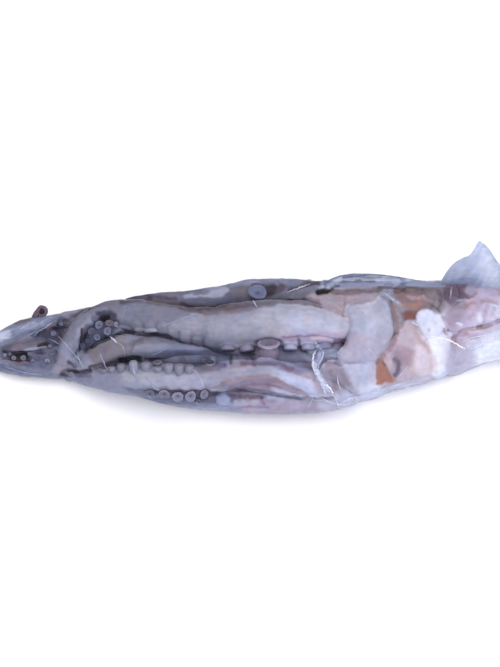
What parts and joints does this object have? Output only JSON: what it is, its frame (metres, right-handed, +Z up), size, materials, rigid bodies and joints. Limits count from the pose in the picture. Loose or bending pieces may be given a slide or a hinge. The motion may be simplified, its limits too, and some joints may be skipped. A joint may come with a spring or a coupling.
{
  "type": "raw octopus in a clear film bag",
  "caption": "Whole raw octopus drawn tight into a clear film bag, arms and suckers pressed along its length, lying flat with its loose bag end up.",
  "frame": {"origin": "on the flat underside that the bag rests on, under the middle of the arms, in line with the bag's length", "axes": "+X from the arm tips towards the mantle, +Y towards the back edge with the loose bag end, +Z up"},
  "size_m": [0.5908, 0.1731, 0.0663],
  "materials": {
    "film_over_flesh": "clear plastic film drawn tight over pale grey-violet raw flesh, glossy with milky creases",
    "clear_film": "clear thin polyethylene film, glossy, milky where it creases or stands off",
    "raw_flesh": "wet pale grey-violet raw octopus flesh, smooth, with paler suckers",
    "brown_skin": "wet brown to rust-orange octopus skin with fine speckle"
  },
  "bodies": {
    "root": {"octopus_in_bag": "film_over_flesh"}
  },
  "joints": []
}
